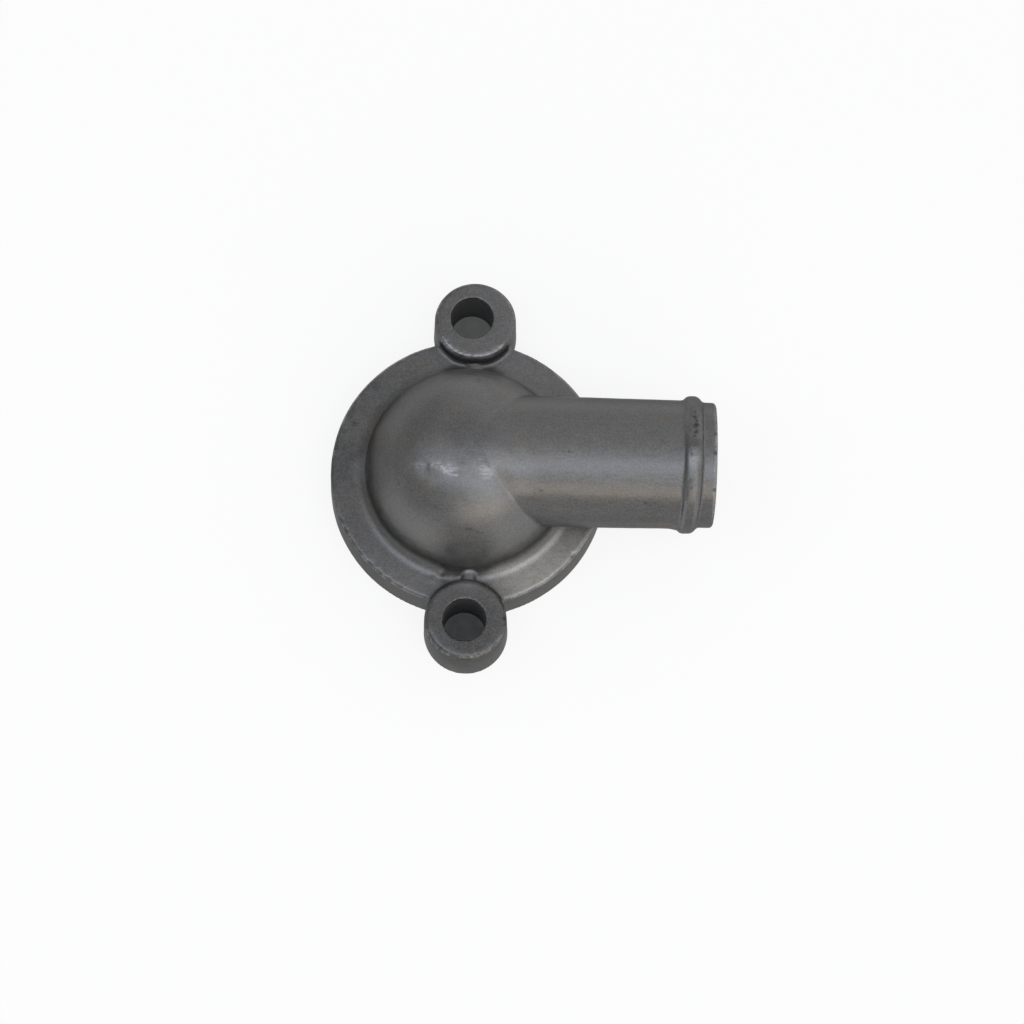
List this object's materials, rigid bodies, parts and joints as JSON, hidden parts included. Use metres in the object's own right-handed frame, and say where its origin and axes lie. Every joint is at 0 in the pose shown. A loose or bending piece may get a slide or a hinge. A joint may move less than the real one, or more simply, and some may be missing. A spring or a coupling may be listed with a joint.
{
  "type": "radiator hose connector",
  "caption": "Cast coolant outlet with a round domed flange, two bolt bosses and a beaded hose spigot that leaves the dome sideways.",
  "frame": {"origin": "centre of the mounting face, on the axis of the flange", "axes": "+Z out of the mounting face into the dome, +X along the hose spigot, Y through both bolt holes"},
  "size_m": [0.0812, 0.0834, 0.033],
  "materials": {
    "cast_aluminium": "satin dark grey, as cast"
  },
  "bodies": {
    "root": {"outlet_casting": "cast_aluminium"}
  },
  "joints": []
}
